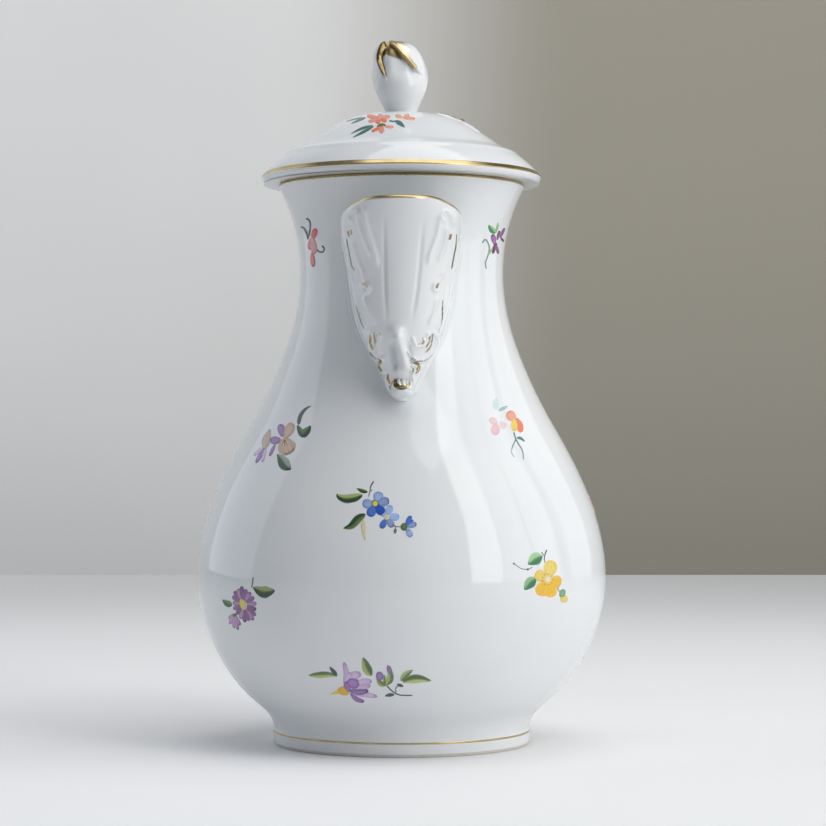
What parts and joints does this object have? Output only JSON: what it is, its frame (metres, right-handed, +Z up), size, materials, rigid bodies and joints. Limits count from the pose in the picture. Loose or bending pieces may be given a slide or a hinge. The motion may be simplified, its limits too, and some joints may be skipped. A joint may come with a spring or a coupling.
{
  "type": "chocolate pot",
  "caption": "Pear-shaped porcelain chocolate pot with a beak spout, an ear handle and a loose domed lid with a bud.",
  "frame": {"origin": "centre of the foot ring's underside, on the pot's axis, at the resting face", "axes": "+Z up along the pot's axis, -Y out through the spout, +Y out through the handle, X across"},
  "size_m": [0.1396, 0.1631, 0.2403],
  "materials": {
    "glazed_porcelain": "cool white hard-paste porcelain under a clear gloss glaze",
    "bare_porcelain": "unglazed fired porcelain, fine matt grain",
    "gilding": "fired gold, burnished, slightly worn",
    "overglaze_enamel": "painted flower enamels, fired into the glaze, semi-gloss"
  },
  "bodies": {
    "pot": {"pot_body": "glazed_porcelain", "foot_ring": "bare_porcelain", "spout": "glazed_porcelain", "spout_scroll": "gilding", "handle": "glazed_porcelain", "handle_thumb_scroll": "glazed_porcelain", "handle_tail_scroll": "glazed_porcelain"},
    "lid": {"lid": "glazed_porcelain", "lid_flange": "bare_porcelain", "finial_bud": "glazed_porcelain", "finial_petals": "glazed_porcelain"}
  },
  "joints": [
    {"name": "lid_lift", "type": "slide", "parent": "pot", "child": "lid", "axis": [0, 0, 1], "range_m": [0, 0.04]}
  ]
}
